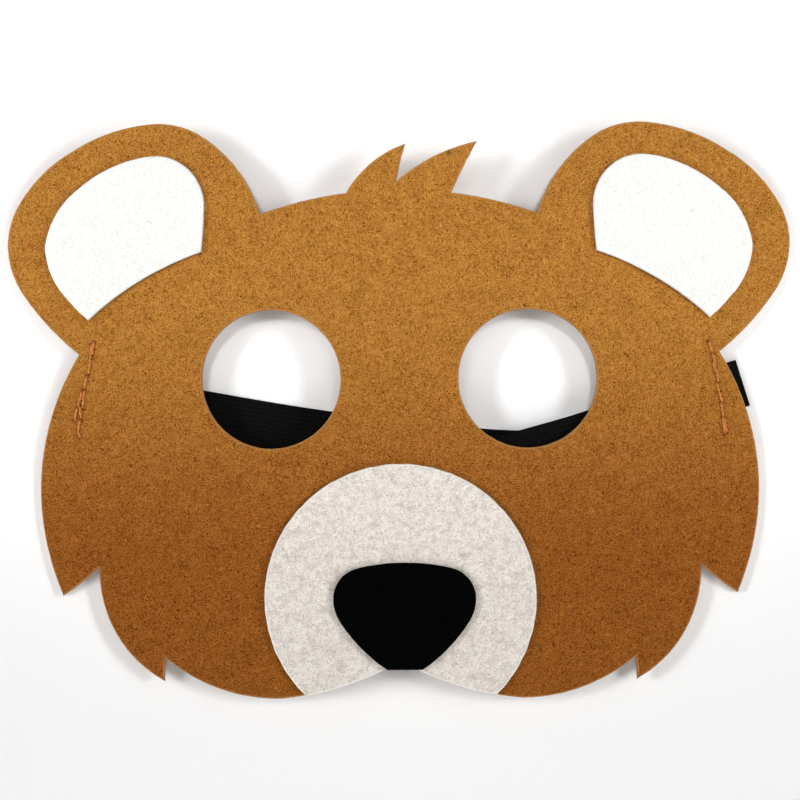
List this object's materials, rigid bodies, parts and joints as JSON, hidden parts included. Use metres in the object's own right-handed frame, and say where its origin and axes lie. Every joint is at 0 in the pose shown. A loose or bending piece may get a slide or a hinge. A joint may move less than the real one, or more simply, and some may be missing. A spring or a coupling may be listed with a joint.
{
  "type": "felt eye mask",
  "caption": "Bear face eye mask of layered felt, with round ears, eye holes and a glued muzzle and nose, on a flat black elastic strap.",
  "frame": {"origin": "middle of the bounding box in X and Y, on the surface that the mask lies on", "axes": "+X to the right as the mask's front is looked at, +Y up to the ears, +Z out of the front of the face"},
  "size_m": [0.1964, 0.1436, 0.0126],
  "materials": {
    "felt_brown": "matte needled felt, golden brown",
    "felt_white": "matte needled felt, white",
    "felt_muzzle": "matte needled felt, mottled pale grey",
    "felt_black": "matte needled felt, black",
    "elastic_black": "woven flat elastic, black"
  },
  "bodies": {
    "root": {"face": "felt_brown", "ear_patch_left": "felt_white", "ear_patch_right": "felt_white", "muzzle": "felt_muzzle", "nose": "felt_black", "strap": "elastic_black"}
  },
  "joints": []
}
